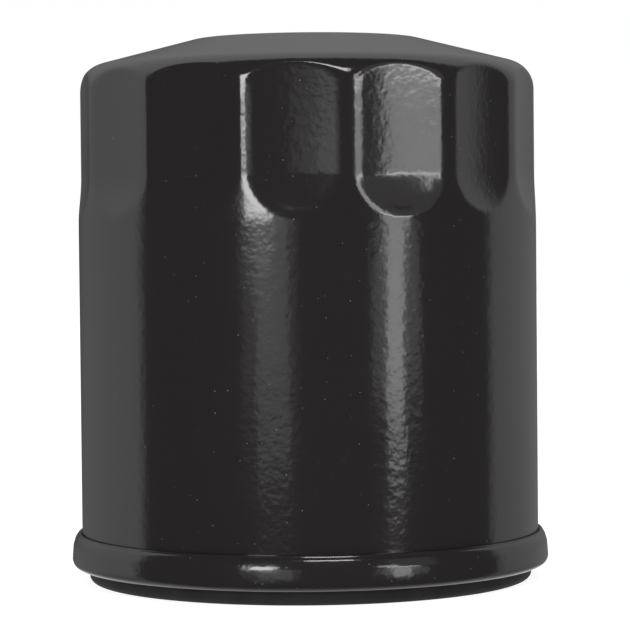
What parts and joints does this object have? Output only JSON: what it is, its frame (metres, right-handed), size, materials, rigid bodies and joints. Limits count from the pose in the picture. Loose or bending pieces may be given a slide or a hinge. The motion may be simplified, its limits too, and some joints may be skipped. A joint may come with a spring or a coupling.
{
  "type": "spin-on oil filter",
  "caption": "Black spin-on engine oil filter: fluted closed end, rolled seam, mounting gasket, threaded base plate, pleated element, bypass and anti-drainback valves.",
  "frame": {"origin": "centre of the mounting gasket's sealing face, under the axis", "axes": "+Z along the filter's axis, from the gasket towards the closed, fluted crown; -Y is the front"},
  "size_m": [0.07, 0.07, 0.079],
  "materials": {
    "black_paint": "glossy baked black enamel on drawn sheet steel",
    "sealant": "cured seam compound",
    "plate_steel": "bare pressed steel with a light oil film",
    "gasket_rubber": "matte moulded nitrile rubber",
    "silicone": "satin orange silicone rubber",
    "tinned_steel": "tin-plated sheet steel",
    "plastisol": "cured adhesive",
    "filter_paper": "resin-cured pleated filter paper",
    "valve_steel": "plain pressed steel",
    "seal_rubber": "matte nitrile rubber",
    "spring_steel": "dark tempered spring steel"
  },
  "bodies": {
    "filter": {"canister": "black_paint", "seam_cover": "black_paint", "seam_sealant": "sealant", "base_plate": "plate_steel", "mounting_gasket": "gasket_rubber", "drainback_valve_collar": "silicone", "lower_end_cap": "tinned_steel", "lower_adhesive": "plastisol", "pleated_media": "filter_paper", "media_clip": "tinned_steel", "centre_tube": "tinned_steel", "upper_adhesive": "plastisol", "upper_end_cap": "tinned_steel", "bypass_seat": "valve_steel", "bypass_cage": "valve_steel", "bypass_spring": "spring_steel", "element_spring": "spring_steel"},
    "bypass_valve": {"bypass_poppet": "valve_steel", "bypass_seal": "seal_rubber"},
    "drainback_skirt": {"drainback_valve_skirt": "silicone"}
  },
  "joints": [
    {"name": "bypass_open", "type": "slide", "parent": "filter", "child": "bypass_valve", "axis": [0, 0, -1], "range_m": [0, 0.0022], "stiffness_N_per_m": 1500, "springref_m": -0.0047, "deforming": ["bypass_spring"]},
    {"name": "drainback_lift", "type": "slide", "parent": "filter", "child": "drainback_skirt", "axis": [0, 0, 1], "range_m": [0, 0.0015], "stiffness_N_per_m": 200, "springref_m": -0.001}
  ]
}
